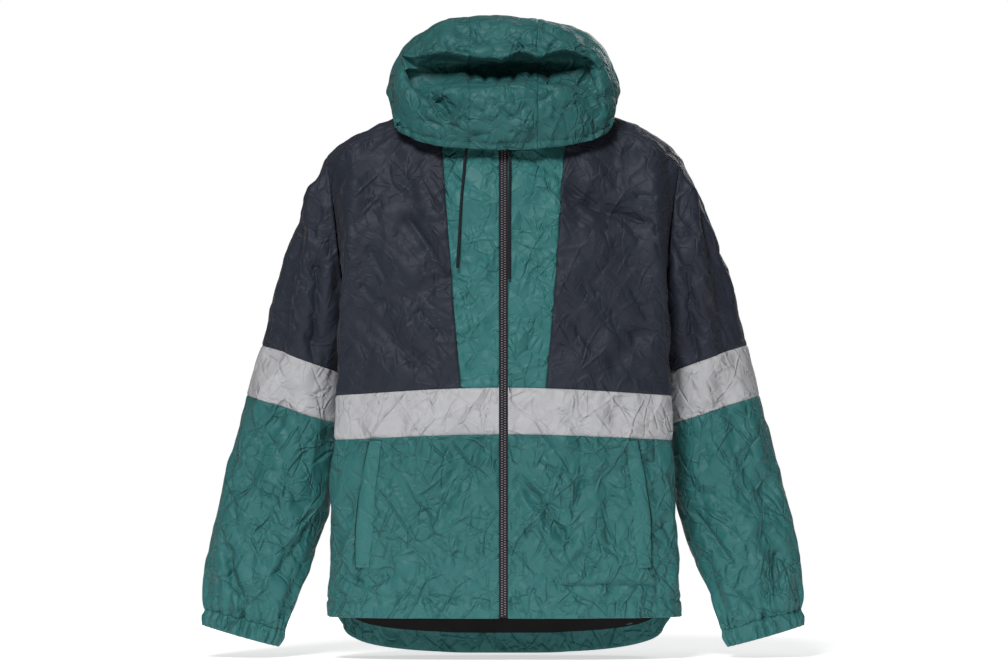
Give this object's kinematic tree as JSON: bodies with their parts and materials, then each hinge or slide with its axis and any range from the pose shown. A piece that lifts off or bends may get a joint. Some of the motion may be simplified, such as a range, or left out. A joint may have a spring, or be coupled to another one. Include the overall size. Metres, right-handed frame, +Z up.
{
  "type": "hooded windbreaker jacket",
  "caption": "Light hooded windbreaker, filled out as when worn: full front zip, slanted pocket welts, colour-blocked panels, elastic cuffs and a longer back hem.",
  "frame": {"origin": "the middle of the neck opening, level with the points where the neck meets the shoulders, where the wearer holds the jacket up", "axes": "+Z up, the front faces -Y, the wearer's left is at +X; the jacket is as good as symmetric about the YZ plane"},
  "size_m": [0.8468, 0.2752, 0.9002],
  "materials": {
    "green_nylon": "crinkled, slightly glossy teal-green nylon",
    "navy_nylon": "crinkled, slightly glossy dark blue-grey nylon",
    "grey_nylon": "crinkled, slightly glossy light grey nylon",
    "black_lining": "matt black lining",
    "zip_tape": "woven dark grey tape with moulded teeth",
    "cord": "braided dark cord",
    "slider_metal": "dark enamelled"
  },
  "bodies": {
    "jacket": {"hood_centre": "green_nylon", "hood_side_left": "green_nylon", "hood_side_right": "green_nylon", "front_centre_left": "green_nylon", "front_centre_right": "green_nylon", "front_chest_left": "navy_nylon", "front_chest_right": "navy_nylon", "front_band_left": "grey_nylon", "front_band_right": "grey_nylon", "front_lower_left": "green_nylon", "front_lower_right": "green_nylon", "pocket_welt_left": "green_nylon", "pocket_welt_right": "green_nylon", "back_upper": "navy_nylon", "back_band": "grey_nylon", "back_lower": "green_nylon", "back_lining": "black_lining", "sleeve_upper_left": "navy_nylon", "sleeve_upper_right": "navy_nylon", "sleeve_band_left": "grey_nylon", "sleeve_band_right": "grey_nylon", "sleeve_lower_left": "green_nylon", "sleeve_lower_right": "green_nylon", "cuff_left": "green_nylon", "cuff_right": "green_nylon", "zip": "zip_tape", "zip_slider": "slider_metal", "drawcord_left": "cord", "drawcord_right": "cord"},
    "pull": {"zip_pull": "slider_metal"}
  },
  "joints": [
    {"name": "pull_hinge", "type": "hinge", "parent": "jacket", "child": "pull", "pos_m": [0, -0.09429, -0.03754], "axis": [-1, 0, 0], "range_deg": [0, 160]}
  ]
}
